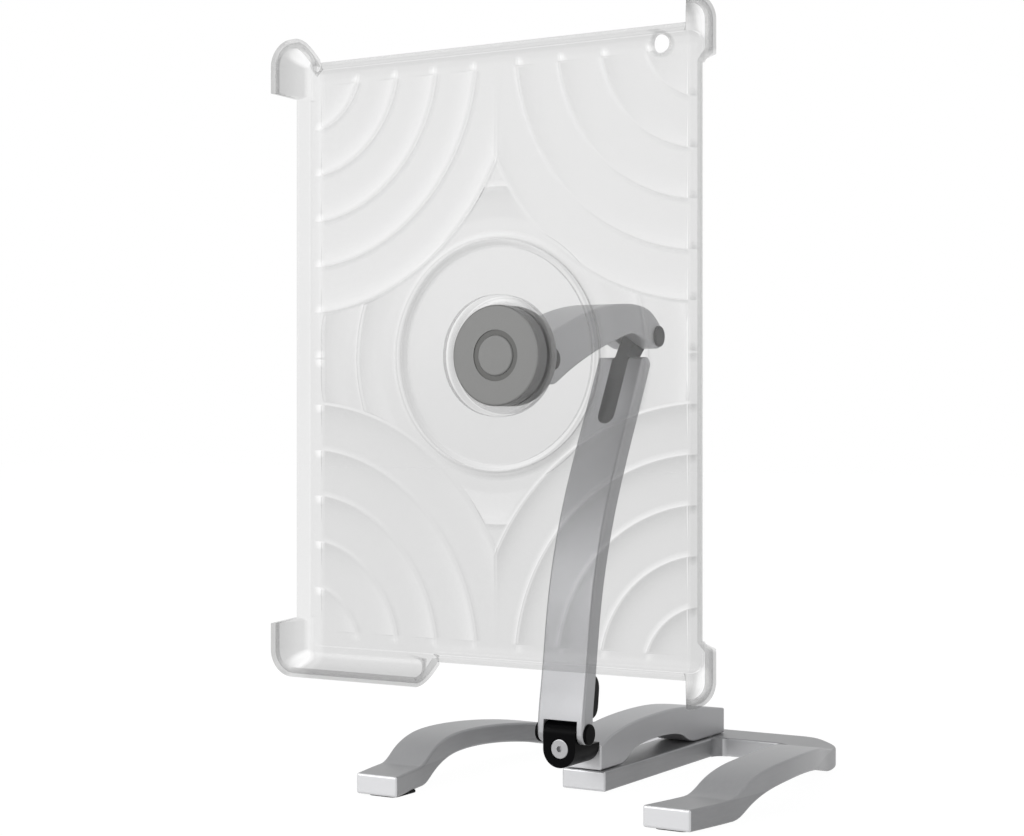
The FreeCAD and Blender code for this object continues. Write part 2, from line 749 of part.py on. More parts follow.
def clip_regions():
    """The four clips: ear, two square cut corners, long bottom lip."""
    far = clip_half + 1
    top = clip_top + 1
    low = clip_bottom - 1
    cut_x = clip_half - cut_corner_width
    outline = ear_outline(far, top)
    ear = slanted_prism(outline, [x > -far for x, z in outline])
    right_top = box(cut_x, far, -20, 20, clip_top - clip_side_length, top)
    right_low = box(cut_x, far, -20, 20, low, clip_bottom + clip_side_length)
    end = clip_half - long_lip_gap
    edge = clip_bottom + long_lip_chamfer
    side_top = clip_bottom + clip_side_length
    outline = [(-far, low), (end, low), (end, clip_bottom), (end + long_lip_chamfer, edge),
               (end + long_lip_chamfer, side_top), (-far, side_top)]
    long_lip = slanted_prism(outline, [x > -far for x, z in outline])
    return [ear, right_top, right_low, long_lip]


def saw_profile(first, last):
    """Rings that rise slowly going outward and end in a step, as a solid of turning."""
    rings = []
    radius = first
    while radius <= last + 0.01:
        inner = radius - ripple_pitch * 0.8
        points = [V(inner, panel_front_y + 0.2, 0), V(radius, panel_front_y + 0.2, 0),
                  V(radius - 0.5, panel_front_y - ripple_height, 0),
                  V(radius - 2.0, panel_front_y - ripple_height, 0)]
        face = Part.Face(Part.makePolygon(points + [points[0]]))
        rings.append(face.revolve(V(0, 0, 0), V(0, 1, 0), 360))
        radius += ripple_pitch
    return rings


def ripples():
    """Ring families about the four corners of the panel, and about the hub between them."""
    half = body_half - ripple_border
    low = tray_bottom + ripple_border
    top = tray_top - ripple_border
    pieces = []
    corner_zones = []
    for sx in (-1, 1):
        for z in (tray_bottom, tray_top):
            x = sx * body_half
            zone = box(min(0, sx * half), max(0, sx * half), 0, 10, min(hub_z, z), max(hub_z, z))
            zone = zone.common(box(-half, half, 0, 10, low, top))
            zone = zone.common(rod_y(x, z, ripple_reach, 0, 10))
            zone = zone.cut(rod_y(0, hub_z, ring_radius + 6, 0, 10))
            corner_zones.append(zone)
            for ring in saw_profile(ripple_first, ripple_reach):
                pieces.append(ring.translated(V(x, 0, z)).common(zone))
    middle = box(-half, half, 0, 10, low, top)
    for zone in corner_zones:
        middle = middle.cut(zone)
    for ring in saw_profile(hub_ripple_first, hub_ripple_last):
        pieces.append(ring.translated(V(0, 0, hub_z)).common(middle))
    return [solid for piece in pieces for solid in piece.Solids]


def tray():
    body = tray_body()
    shell = clip_shell()
    hollow = clip_hollow()
    for region in clip_regions():
        body = body.cut(hollow.common(region)).fuse(shell.common(region))
    disc_front = panel_front_y + disc_step
    body = body.fuse(rod_y(0, hub_z, ring_radius, disc_front, rim_depth + disc_step))
    body = body.cut(rod_y(0, hub_z, ring_radius - ring_half_width, 0, disc_front))
    ridge = Part.makeTorus(ring_radius, ring_half_width, V(0, panel_front_y + 0.6, hub_z), V(0, 1, 0))
    ridge = ridge.common(box(-body_half, body_half, 0, panel_front_y + 1.2, tray_bottom, tray_top))
    body = body.fuse(ridge)
    body = body.fuse(rod_y(0, hub_z, collar_radius, collar_front_y, collar_rear_y))
    body = body.cut(rod_y(0, hub_z, puck_radius + bore_clearance, 0, 40))
    for piece in ripples():
        body = body.fuse(piece)
    camera_x = body_half - camera_side_inset
    camera_z = tray_top - camera_top_inset
    body = body.cut(rod_y(camera_x, camera_z, camera_radius, -1, 20))
    return body.removeSplitter()


def tray_parts():
    """The moulded tray in three: its panel, its two side strips and its two end strips."""
    whole = tray()
    side_x = body_half - side_joint
    low = tray_bottom + end_joint
    high = tray_top - end_joint
    middle = rounded_slab(side_x, low, high, -20, 30, joint_round, 0.5)
    between = box(-side_x, side_x, -20, 30, clip_bottom - 5, clip_top + 5)
    return whole.common(middle), whole.cut(between), whole.common(between).cut(middle)


def lock_ring():
    """Ring on the rear of the collar whose inner edge runs in the groove of the hub."""
    rear = collar_rear_y + lock_ring_thickness
    ring = rod_y(0, hub_z, collar_radius - 0.8, collar_rear_y, rear)
    return ring.cut(rod_y(0, hub_z, puck_radius - lock_groove_depth + moving_gap, 0, 40))


def main():
    os.makedirs("parts", exist_ok=True)
    save("base_frame", [base_frame()])
    save("foot_pads", foot_pads())
    save("swivel_bolt", [swivel_bolt()])
    save("swivel_washer", [swivel_washer()])
    save("arch_bar", [arch_bar()])
    save("base_knuckle", [base_knuckle()])
    save("knuckle_screw", [knuckle_screw()])
    save("base_hinge_pin", [base_hinge_pin()])
    save("base_hinge_caps", end_caps(base_pivot, cap_radius, arm_half))
    save("lower_arm", [lower_arm().cut(knuckle_grub())])
    save("arm_bumper", [arm_bumper()])
    save("elbow_knuckle", [elbow_knuckle().cut(knuckle_grub())])
    save("knuckle_cross_screw", [knuckle_grub()])
    save("elbow_washers", elbow_washers())
    save("elbow_pin", [elbow_pin()])
    save("elbow_caps", end_caps(elbow_pivot, elbow_cap_radius, arm_half))
    save("upper_arm", [upper_arm()])
    save("tilt_pin", [tilt_pin()])
    save("tilt_washers", hinge_washers(tilt_pivot, lug_half, lug_radius - 0.6,
                                       tilt_pin_radius + pin_clearance, tilt_washer_thickness))
    save("tilt_caps", end_caps(tilt_pivot, tilt_pin_radius + 1.6, arm_half))
    save("puck_cover", [puck_cover()])
    save("puck_screws", puck_screws())
    save("puck_housing", [puck_housing()])
    save("button_ring", [button_ring()])
    save("release_button", [release_button()])
    save("button_spring", [button_spring()])
    save("lock_ring", [lock_ring()])
    panel, sides, ends = tray_parts()
    save("tray_panel", panel.Solids)
    save("tray_sides", sides.Solids)
    save("tray_ends", ends.Solids)


main()
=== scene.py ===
"""Tablet mount: finishes, tray border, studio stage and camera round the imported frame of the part."""

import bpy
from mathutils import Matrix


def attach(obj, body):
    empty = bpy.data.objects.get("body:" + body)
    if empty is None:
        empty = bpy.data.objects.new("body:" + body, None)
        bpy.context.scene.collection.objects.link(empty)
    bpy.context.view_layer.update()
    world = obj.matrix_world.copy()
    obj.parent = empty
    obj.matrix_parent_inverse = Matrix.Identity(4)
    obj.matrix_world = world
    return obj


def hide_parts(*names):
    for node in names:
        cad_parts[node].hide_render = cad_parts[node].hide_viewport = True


bl_info = {
    "name": "Tablet mount",
    "version": (1, 0, 0),
    "blender": (4, 5, 0),
    "location": "3D View > Sidebar > Tablet mount",
    "description": "Dresses the folding tablet mount with its finishes and sets its studio stage",
    "category": "Object",
}

import math
from types import SimpleNamespace

import bmesh
import bpy
import numpy as np

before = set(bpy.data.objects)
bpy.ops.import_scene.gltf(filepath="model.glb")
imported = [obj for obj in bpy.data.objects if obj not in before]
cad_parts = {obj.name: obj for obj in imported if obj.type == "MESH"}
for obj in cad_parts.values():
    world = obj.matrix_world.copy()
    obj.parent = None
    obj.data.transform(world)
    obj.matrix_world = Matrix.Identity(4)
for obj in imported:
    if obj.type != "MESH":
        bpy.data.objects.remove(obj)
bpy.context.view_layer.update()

# The bars' brushed grain: how much finer it is across, along and up
GRAIN = (900.0, 60.0, 900.0)

# Profiles along the rim between two clips, and the part of a level rim that its slanted end takes
RIM_ROWS = 90
END_PARTS = 7

# Profiles along each stretch of a clip
SIDE_ROWS = 6
RISE_ROWS = 4
EAR_CORNER_ROWS = 16
EAR_ARCH_ROWS = 18
CLIP_CORNER_ROWS = 20
LIP_ARCH_ROWS = 16
LIP_ROWS = 30

# Rounded front edge of the rim in millimetres: how far outside its inner face and how deep, then how far
# inside its outer face and how deep
RIM_INNER_EDGE = ((0.0, 2.5), (0.0, 1.2), (0.0, 0.6), (0.0, 0.35), (0.05, 0.2), (0.1, 0.1), (0.2, 0.03),
                  (0.3, 0.0))
RIM_OUTER_EDGE = ((0.35, 0.0), (0.1, 0.1), (0.0, 0.35), (0.0, 0.6), (0.0, 0.8), (0.0, 1.0))

# Points along a curve, and along the plate between the panel and a clip's wall, as shares of the way
HOLLOW_STEPS = (0, 0.2, 0.4, 0.6, 0.8, 1)
BEHIND_STEPS = (0, 0.15, 0.3, 0.45, 0.6, 0.8, 1)
PLATE_STEPS = (0, 0.12, 0.3, 0.65)

# Painted light on a slope of the tray that faces up, and on one that faces left
LIGHT_UP = 0.68
LIGHT_LEFT = 0.73

# Where the painted glow on a ring's slope starts and is brightest, and where the painted step after it ends,
# as shares of the pitch
GLOW_START = 0.25
GLOW_MOST = 0.97
STEP_END = 0.13

# How near a cut face of a bar the painted highlight reaches, in millimetres
CUT_REACH = 0.6
CROSS_REACH = 0.5

# Each lamp's place, the point it faces and its width, in metres
LAMPS = {
    "key": ((-1.0, -1.75, 0.75), (0.0, -0.05, 0.13), 1.1),
    "fill": ((1.7, -0.2, 0.7), (0.0, 0.0, 0.13), 1.2),
    "top": ((-0.6, -0.1, 1.9), (0.0, 0.0, 0.1), 1.2),
}


class Value:
    """A number socket of a material. Sums, products and the methods add Math nodes."""

    def __init__(self, finish, socket):
        self.finish = finish
        self.socket = socket

    def math(self, operation, *operands):
        """A Math node over the operands."""
        return self.finish.node("ShaderNodeMath", {"operation": operation}, 0, *operands)

    def __add__(self, other):
        return self.math("ADD", self, other)

    __radd__ = __add__

    def __sub__(self, other):
        return self.math("SUBTRACT", self, other)

    def __rsub__(self, other):
        return self.math("SUBTRACT", other, self)

    def __mul__(self, other):
        return self.math("MULTIPLY", self, other)

    __rmul__ = __mul__

    def __truediv__(self, other):
        return self.math("DIVIDE", self, other)

    def __pow__(self, other):
        return self.math("POWER", self, other)

    def sign(self):
        """-1 below 0 and 1 above it."""
        return self.math("SIGN", self)

    def fraction(self):
        """What is left over the next lower whole number."""
        return self.math("FRACT", self)

    def least(self, other):
        return self.math("MINIMUM", self, other)

    def most(self, other):
        return self.math("MAXIMUM", self, other)

    def between(self, low, high):
        """0 below low and 1 above high, with a straight slope between them."""
        return ((self - low) / (high - low)).most(0.0).least(1.0)

    def near(self, middle, reach):
        """1 at the middle value, fading to 0 at that reach to either side."""
        return (1.0 - self.math("ABSOLUTE", self - middle) / reach).most(0.0).least(1.0)

    def within(self, reach, fade=0.05):
        """1 within that reach of 0, fading out over the last share of it."""
        return self.near(0.0, reach).between(0.0, fade)


class Finish:
    """A material whose shader is built from expressions on Values."""

    def __init__(self, name):
        self.material = bpy.data.materials.new(name)
        self.material.use_nodes = True
        self.tree = self.material.node_tree
        self.shader = self.tree.nodes["Principled BSDF"]

    def node(self, kind, settings, out, *inputs, **named):
        """Adds a node of that kind. Settings come first, then its inputs by place or by name."""
        made = self.tree.nodes.new(kind)
        for key, setting in settings.items():
            setattr(made, key, setting)
        pairs = list(enumerate(inputs)) + [(key.replace("_", " "), item) for key, item in named.items()]
        for key, item in pairs:
            self.feed(made.inputs[key], item)
        return Value(self, made.outputs[out])

    def feed(self, socket, item):
        """Links a Value to the socket, or sets a constant."""
        if isinstance(item, Value):
            self.tree.links.new(item.socket, socket)
        else:
            socket.default_value = item

    def place(self):
        """The point on the piece, in metres."""
        return self.node("ShaderNodeTexCoord", {}, "Object")

    def stretched(self, place, scale):
        """The place times the scale of each axis."""
        return self.node("ShaderNodeMapping", {}, 0, Vector=place, Scale=scale)

    def noise(self, place, scale, detail=2.0, roughness=0.55):
        """A soft random pattern from 0 to 1, finer with a larger scale."""
        return self.node("ShaderNodeTexNoise", {}, "Fac", Vector=place, Scale=scale, Detail=detail,
                         Roughness=roughness)

    def axes(self, vector):
        """The three numbers of a vector."""
        first = self.node("ShaderNodeSeparateXYZ", {}, 0, vector)
        return [Value(self, socket) for socket in first.socket.node.outputs]

    def blend(self, amount, low, high):
        """A colour that goes from low to high as amount goes from 0 to 1."""
        mixed = self.node("ShaderNodeMix", {"data_type": "RGBA", "clamp_factor": True}, 2)
        inputs = mixed.socket.node.inputs
        for place, item in ((0, amount), (6, low), (7, high)):
            self.feed(inputs[place], item)
        return mixed

    def bump(self, height, distance, strength):
        """A normal that tilts with a height of that full distance in metres."""
        return self.node("ShaderNodeBump", {}, 0, Strength=strength, Distance=distance, Height=height)

    def set(self, **sockets):
        """Feeds the shader's sockets of those names."""
        for key, item in sockets.items():
            self.feed(self.shader.inputs[key.replace("_", " ")], item)


def shade(tint, share=1.0):
    """A tint as a full colour, brighter or darker by that share."""
    return (tint[0] * share, tint[1] * share, tint[2] * share, 1.0)


def grained(name, low, high, scale, rough, bump=None, detail=2.0, **sockets):
    """A material whose tint goes from low to high over a fine grain.

    Its roughness is the second number of rough, and the grain adds up to the first.
    """
    finish = Finish(name)
    grain = finish.noise(finish.place(), scale, detail)
    if bump:
        sockets["Normal"] = finish.bump(grain, *bump)
    finish.set(Base_Color=finish.blend(grain, low, high), Roughness=grain * rough[0] + rough[1], **sockets)
    return finish.material


def dress(nodes, material):
    """Gives the CAD nodes of those names this material alone."""
    for name in nodes:
        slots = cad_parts[name].data.materials
        slots.clear()
        slots.append(material)


def band(name, points):
    """A closed loop of profiles as one mesh. Rows of points run round the loop, columns along a profile."""
    rows, columns = points.shape[:2]
    index = np.arange(rows * columns).reshape(rows, columns)
    after = np.roll(index, -1, axis=0)
    quads = np.stack([index[:, :-1], index[:, 1:], after[:, 1:], after[:, :-1]], axis=-1)
    mesh = bpy.data.meshes.new(name)
    mesh.from_pydata(points.reshape(-1, 3), [], quads.reshape(-1, 4))
    work = bmesh.new()
    work.from_mesh(mesh)
    bmesh.ops.remove_doubles(work, verts=work.verts, dist=1e-6)
    bmesh.ops.recalc_face_normals(work, faces=work.faces)
    work.to_mesh(mesh)
    work.free()
    mesh.polygons.foreach_set("use_smooth", np.ones(len(mesh.polygons), dtype=bool))
    mesh.set_sharp_from_angle(angle=math.radians(40))
    piece = bpy.data.objects.new(name, mesh)
    bpy.context.scene.collection.objects.link(piece)
    return piece


def line(start, end, count):
    """Points at even steps from start to end."""
    share = np.linspace(0.0, 1.0, count)[:, None]
    return np.array(start) * (1 - share) + np.array(end) * share


def arc(middle, radius, start, end, count):
    """Points on an arc between two angles in degrees, and their directions from its middle."""
    angle = np.radians(np.linspace(start, end, count))
    out = np.stack([np.cos(angle), np.sin(angle)], axis=1)
    return np.array(middle) + radius * out, out


def curve(start, bend, end, steps):
    """A quadratic curve from start to end that leaves toward the bend."""
    share = np.array(steps)[:, None]
    toward = np.array(bend) * 2 * share * (1 - share)
    return np.array(start) * (1 - share) ** 2 + toward + np.array(end) * share ** 2


def facing(direction, count):
    """The same direction for each of that many profiles."""
    return np.tile(np.array(direction, dtype=float), (count, 1))


def colour_prop(name, description, default):
    """A colour of three shares from 0 to 1."""
    return bpy.props.FloatVectorProperty(name=name, description=description, default=default,
                                         subtype="COLOR", size=3, min=0.0, max=1.0)


def length_prop(name, description, default):
    """A length in metres."""
    return bpy.props.FloatProperty(name=name, description=description, default=default,
                                   subtype="DISTANCE", unit="LENGTH")


def number_prop(name, description, default):
    return bpy.props.FloatProperty(name=name, description=description, default=default)


def millimetres(group):
    """A group's lengths in millimetres and its other numbers as they are, by name."""
    sizes = SimpleNamespace()
    for name, prop in group.bl_rna.properties.items():
        if prop.type == "FLOAT":
            scale = 1000.0 if prop.unit == "LENGTH" else 1.0
            setattr(sizes, name, getattr(group, name) * scale)
    return sizes


class MOUNT_PG_finishes(bpy.types.PropertyGroup):
    """Colours of the pieces."""

    metal: colour_prop("Aluminium", "Satin aluminium of the bars and arms", (0.37, 0.372, 0.382))
    # Painted highlight on the front cut ends of the bars and feet and on the crossbar's front face
    end_highlight: colour_prop("Cut ends", "Bright cut ends of the aluminium bars", (0.66, 0.662, 0.675))
    # Pale streaks along the brushed grain, partly the metal's own and partly a painted sheen
    brushing_and_sheen: colour_prop("Brushing", "Pale streaks in the aluminium", (0.62, 0.62, 0.63))
    tray: colour_prop("Tray", "Clear plastic of the tray", (0.24, 0.24, 0.24))
    hub: colour_prop("Hub", "Grey plastic of the hub", (0.20, 0.20, 0.196))
    ring: colour_prop("Button ring", "Dark ring round the button", (0.09, 0.09, 0.085))
    black: colour_prop("Black plastic", "Black plastic of hinge blocks and caps", (0.0022, 0.0022, 0.0025))
    rubber: colour_prop("Rubber", "Rubber of the pads and the arm's stop", (0.012, 0.012, 0.012))
    steel: colour_prop("Steel", "Steel of screws and pins", (0.38, 0.38, 0.39))
    washer: colour_prop("Washers", "Pale plastic of the washers", (0.62, 0.62, 0.6))
    washer_dark: colour_prop("Washer grain", "Darker grain of the washers", (0.55, 0.55, 0.53))


class MOUNT_PG_bars(bpy.types.PropertyGroup):
    """Where the bars' painted highlight on the front cut ends and the painted shade on the base frame and legs
    lie.
    """

    # Places of the painted highlight: the front cut ends and the crossbar's front face
    foot_end: length_prop("Foot end", "Place of the feet's cut ends", -0.0744)
    bar_end: length_prop("Bar end", "Place of the two bars' cut ends", -0.0224)
    bar_half: length_prop("Bar half width", "Half the width of the two bars", 0.011)
    low_top: length_prop("Low top", "Height under which the base frame and the arch bar lie", 0.0265)
    cross_end: length_prop("Crossbar face", "Place of the crossbar's bright front face", 0.0781)
    cross_half: length_prop("Crossbar half width", "Half the width between the legs", 0.05)
    cross_top: length_prop("Crossbar edge", "Height at which the crossbar's bright face ends", 0.008)
    # Painted shade: the base frame below its top is darker, and the legs take part of that shade
    frame_top: length_prop("Frame top", "Height of the top of the darker base frame", 0.0088)
    legs_in: length_prop("Legs", "How far from the middle the legs' darker shade starts", 0.02)
    dark: number_prop("Frame shade", "Share of the aluminium's brightness on the base frame", 0.66)
    legs: number_prop("Legs shade", "How much of that shade the legs take", 0.65)


class MOUNT_PG_tray(bpy.types.PropertyGroup):
    """Sizes of the ring pattern on the tray, and how milky its plastic is."""

    hub_height: length_prop("Hub height", "Height of the middle of the tray", 0.1702)
    half_width: length_prop("Half width", "Half the width of the panel", 0.0864)
    half_height: length_prop("Half height", "Half the height of the panel", 0.113)
    border: length_prop("Border", "Width of the plain border outside the rings", 0.008)
    first: length_prop("First ring", "Radius of the first ring about a corner", 0.0255)
    pitch: length_prop("Pitch", "Distance from ring to ring", 0.0175)
    reach: length_prop("Reach", "Outermost radius of the rings about a corner", 0.0962)
    hub_first: length_prop("First hub ring", "Radius of the first ring about the hub", 0.062)
    hub_field: length_prop("Hub field", "Radius of the plain field inside the hub's rings", 0.047)
    ridge: length_prop("Ridge", "Radius of the ridge round the disc", 0.0423)
    collar: length_prop("Collar", "Outer radius of the collar round the hub", 0.0223)
    side_joint: length_prop("Side joint", "How far inside the tray's sides its panel ends", 0.0024)
    end_joint: length_prop("End joint", "How far inside the tray's top and bottom its panel ends", 0.002)
    joint_round: length_prop("Joint corner", "Corner radius of the panel's outline", 0.0046)
    eye_x: length_prop("Camera hole across", "Distance of the camera hole from the middle", 0.068)
    eye_z: length_prop("Camera hole up", "Height of the camera hole over the hub", 0.1075)
    # The darker edge of the camera hole is painted shade
    eye_round: length_prop("Camera hole", "Radius of the darker edge of the camera hole", 0.0039)
    haze: number_prop("Haze", "How milky one face of the plastic is", 0.2)
    contrast: number_prop("Contrast", "How much the light on the rings changes the haze", 0.12)
    clearest: number_prop("Clearest", "Least that one face of the plastic hides", 0.015)
    milkiest: number_prop("Milkiest", "Most that one face of the plastic hides", 0.6)


class MOUNT_PG_border(bpy.types.PropertyGroup):
    """Sizes of the rim and the clips. Depths count backward from the rim's front edge."""

    middle_y: length_prop("Middle", "Depth of the model's origin", 0.0944)
    body_x: length_prop("Body across", "Half the width of the rim", 0.0864)
    body_z: length_prop("Body up", "Half the height of the rim", 0.113)
    clip_x: length_prop("Clips across", "Half the width over the clips", 0.09415)
    clip_z: length_prop("Clips up", "Half the height over the clips", 0.1219)
    clip_side: length_prop("Clip side", "Height of each clip where it leaves the tray's sides", 0.0223)
    cut_rise: length_prop("Cut rise", "How much shorter each clip is at its outer face", 0.0023)
    clip_round: length_prop("Clip corner", "Corner radius of the clips", 0.01)
    clip_wall: length_prop("Clip wall", "Thickness of the clips' walls", 0.0012)
    clip_front: length_prop("Clip front", "Depth of the clips' front face", -0.0062)
    hollow: length_prop("Hollow", "Size of the rounded corner inside a clip", 0.003)
    hollow_foot: length_prop("Hollow foot", "How far that corner runs onto the plate", 0.0026)
    back_round: length_prop("Back round", "How far the corner behind a clip runs onto the plate", 0.0032)
    lip_reach: length_prop("Lip reach", "How far the lip in front of a clip reaches in", 0.0036)
    lip_thick: length_prop("Lip thickness", "Thickness of that lip", 0.0013)
    lip_edge: length_prop("Lip edge", "Bevel on that lip's free edge in front", 0.0003)
    lip_root: length_prop("Lip root", "Bevel on that lip's rear edge and in its root", 0.00025)
    front_edge: length_prop("Front edge", "Size of the rounding between front face and wall", 0.00045)
    front_bevel: length_prop("Front bevel", "How far the middle of that rounding lies inside both", 0.00012)
    flat: length_prop("Flat", "Depth at which the clips' walls start to lean in", -0.0045)
    lean: number_prop("Lean", "Inward lean of the clips' walls over their depth", 0.477)
    slant: number_prop("Slant", "Leftward slant of the long lip's end over its depth", 0.7)
    cut_x: length_prop("Cut", "Where the two square clips end, from the middle", 0.0837)
    cut_slant: number_prop("Cut slant", "Slant of the ends of the two square clips", 0.515)
    ear_x: length_prop("Ear", "Where the ear ends", -0.07125)
    ear_arch: length_prop("Ear arch", "Width of the ear's arch", 0.0108)
    lip_x: length_prop("Long lip", "Where the long bottom lip ends", -0.0169)
    lip_arch: length_prop("Lip arch", "Width of the long lip's arch", 0.01)
    arch_power: number_prop("Arch shape", "How slowly the arches start to fall", 1.6)
    panel_front: length_prop("Panel front", "Depth of the panel's front face", 0.0057)
    panel_rear: length_prop("Panel rear", "Depth of the panel's rear face", 0.0074)
    rim_wall: length_prop("Rim wall", "Thickness of the rim", 0.0017)
    rim_round: length_prop("Rim round", "Radius of the panel's outer edge behind", 0.0064)
    rim_fillet: length_prop("Rim fillet", "Radius inside the rim's foot", 0.002)
    rim_bend: length_prop("Rim bend", "Depth toward which the rim's outer face turns in", 0.0036)
    rim_bend_in: number_prop("Rim bend share", "How far in that point lies, as a share of the way", 0.36)


class MOUNT_PG_stage(bpy.types.PropertyGroup):
    """Camera, floor and lamps."""

    eye: bpy.props.FloatVectorProperty(
        name="Camera place", description="Where the camera stands", subtype="TRANSLATION",
        unit="LENGTH", default=(0.3899, -0.7191, 0.1484))
    turn: bpy.props.FloatProperty(
        name="Camera turn", description="Turn of the level camera about the vertical", subtype="ANGLE",
        default=math.radians(31.25))
    lens: number_prop("Lens", "Focal length on a 36 mm sensor, in millimetres", 71.26)
    shift: number_prop("Rise", "Vertical shift of the lens, as a share of the picture's width", -3 / 1024)
    floor_half: length_prop("Floor", "Half the width of the floor", 4.0)
    floor_shade: number_prop("Floor shade", "Grey of the floor under the lamps", 0.86)
    floor_glow: number_prop("Floor glow", "Strength of the floor's white as seen", 1.05)
    floor_white: number_prop("Floor white", "Share of that white over the floor and its shadow", 0.93)
    backdrop: number_prop("Backdrop", "Strength of the white backdrop as seen", 1.0)
    room: number_prop("Room light", "Strength of the even light from all round", 0.4)
    key: number_prop("Key lamp", "Power of the front lamp in watts", 22.0)
    fill: number_prop("Fill lamp", "Power of the side lamp in watts", 3.0)
    top: number_prop("Top lamp", "Power of the top lamp in watts", 3.0)


class MOUNT_OT_metal(bpy.types.Operator):
    """Satin aluminium on the base frame, arch bar and both arms, with a painted highlight on the front cut
    ends and painted shade on the base frame and legs
    """

    bl_idname = "mount.metal"
    bl_label = "Aluminium bars"

    def execute(self, context):
        tints = context.scene.mount_finishes
        bars = millimetres(context.scene.mount_bars)
        finish = Finish("satin_aluminium")
        place = finish.place()
        grain = finish.noise(finish.stretched(place, GRAIN), 1.0, 4.0, 0.6)
        cloud = finish.noise(place, 45.0, 2.0, 0.5)
        x, y, z = [axis * 1000.0 for axis in finish.axes(place)]
        # Painted highlight on the front cut ends of the feet and bars and on the crossbar's front face, low on
        # the frame
        low = 1.0 - z.between(bars.low_top, bars.low_top + 0.5)
        cut = y.near(bars.bar_end, CUT_REACH) * x.within(bars.bar_half)
        cross = y.near(bars.cross_end, CROSS_REACH) * (1.0 - z.between(bars.cross_top, bars.cross_top + 0.6))
        cross = cross * x.within(bars.cross_half, 0.04) * 0.7
        ends = ((y.near(bars.foot_end, CUT_REACH) + cut + cross) * low).between(0.0, 0.3)
        # Painted shade on the base frame and, in part, on the legs
        flat = 1.0 - z.between(bars.frame_top, bars.frame_top + 0.2)
        legs = low * (1.0 - x.within(bars.legs_in)) * bars.legs
        frame_painted_shade = flat + legs * (1.0 - flat)
        tint = finish.blend(frame_painted_shade, shade(tints.metal), shade(tints.metal, bars.dark))
        tint = finish.blend(ends, tint, shade(tints.end_highlight))
        # Pale streaks from the grain: brushing, with a painted sheen
        streak = (grain * 0.5 + cloud * 0.5).between(0.3, 0.7)
        tint = finish.blend(streak * 0.12, tint, shade(tints.brushing_and_sheen))
        finish.set(Base_Color=tint, Metallic=0.5, Roughness=grain * 0.12 + 0.34,
                   Normal=finish.bump(grain, 0.00002, 0.35))
        dress(["base_frame", "arch_bar", "lower_arm", "upper_arm"], finish.material)
        return {"FINISHED"}


class MOUNT_OT_black(bpy.types.Operator):
    """Black plastic on the hinge blocks and caps, and rubber on the pads and the arm's stop"""

    bl_idname = "mount.black"
    bl_label = "Black hinge pieces"

    def execute(self, context):
        tints = context.scene.mount_finishes
        plastic = grained("black_plastic", shade(tints.black), shade(tints.black, 1.6), 2600.0, (0.1, 0.3),
                          (0.00002, 0.3), Specular_IOR_Level=0.03)
        dress(["base_knuckle", "base_hinge_caps", "elbow_knuckle", "elbow_caps", "tilt_caps"], plastic)
        rubber = grained("black_rubber", shade(tints.rubber), shade(tints.rubber, 1.5), 1800.0, (0.1, 0.6),
                         (0.00003, 0.4), Specular_IOR_Level=0.1)
        dress(["foot_pads", "arm_bumper"], rubber)
        return {"FINISHED"}


class MOUNT_OT_steel(bpy.types.Operator):
    """Steel screws, pins and spring, and pale washers"""

    bl_idname = "mount.steel"
    bl_label = "Screws, pins and washers"

    def execute(self, context):
        tints = context.scene.mount_finishes
        steel = grained("turned_steel", shade(tints.steel, 0.9), shade(tints.steel), 1500.0, (0.1, 0.28),
                        (0.00001, 0.3), 3.0, Metallic=1.0)
        dress(["swivel_bolt", "knuckle_screw", "base_hinge_pin", "knuckle_cross_screw", "elbow_pin",
               "tilt_pin", "puck_screws", "button_spring"], steel)
        washer = grained("washer_plastic", shade(tints.washer_dark), shade(tints.washer), 900.0, (0.1, 0.4))
        dress(["swivel_washer", "elbow_washers", "tilt_washers"], washer)
        return {"FINISHED"}


class MOUNT_OT_hub(bpy.types.Operator):
    """Grey plastic on the hub and its button, and the dark ring between them"""

    bl_idname = "mount.hub"
    bl_label = "Hub and button"

    def execute(self, context):
        tints = context.scene.mount_finishes
        grey = grained("grey_plastic", shade(tints.hub, 0.95), shade(tints.hub, 1.05), 2200.0, (0.08, 0.42),
                       (0.00002, 0.3))
        dress(["puck_housing", "puck_cover", "release_button"], grey)
        ring = grained("dark_ring", shade(tints.ring, 0.9), shade(tints.ring), 2200.0, (0.08, 0.45))
        dress(["button_ring"], ring)
        return {"FINISHED"}


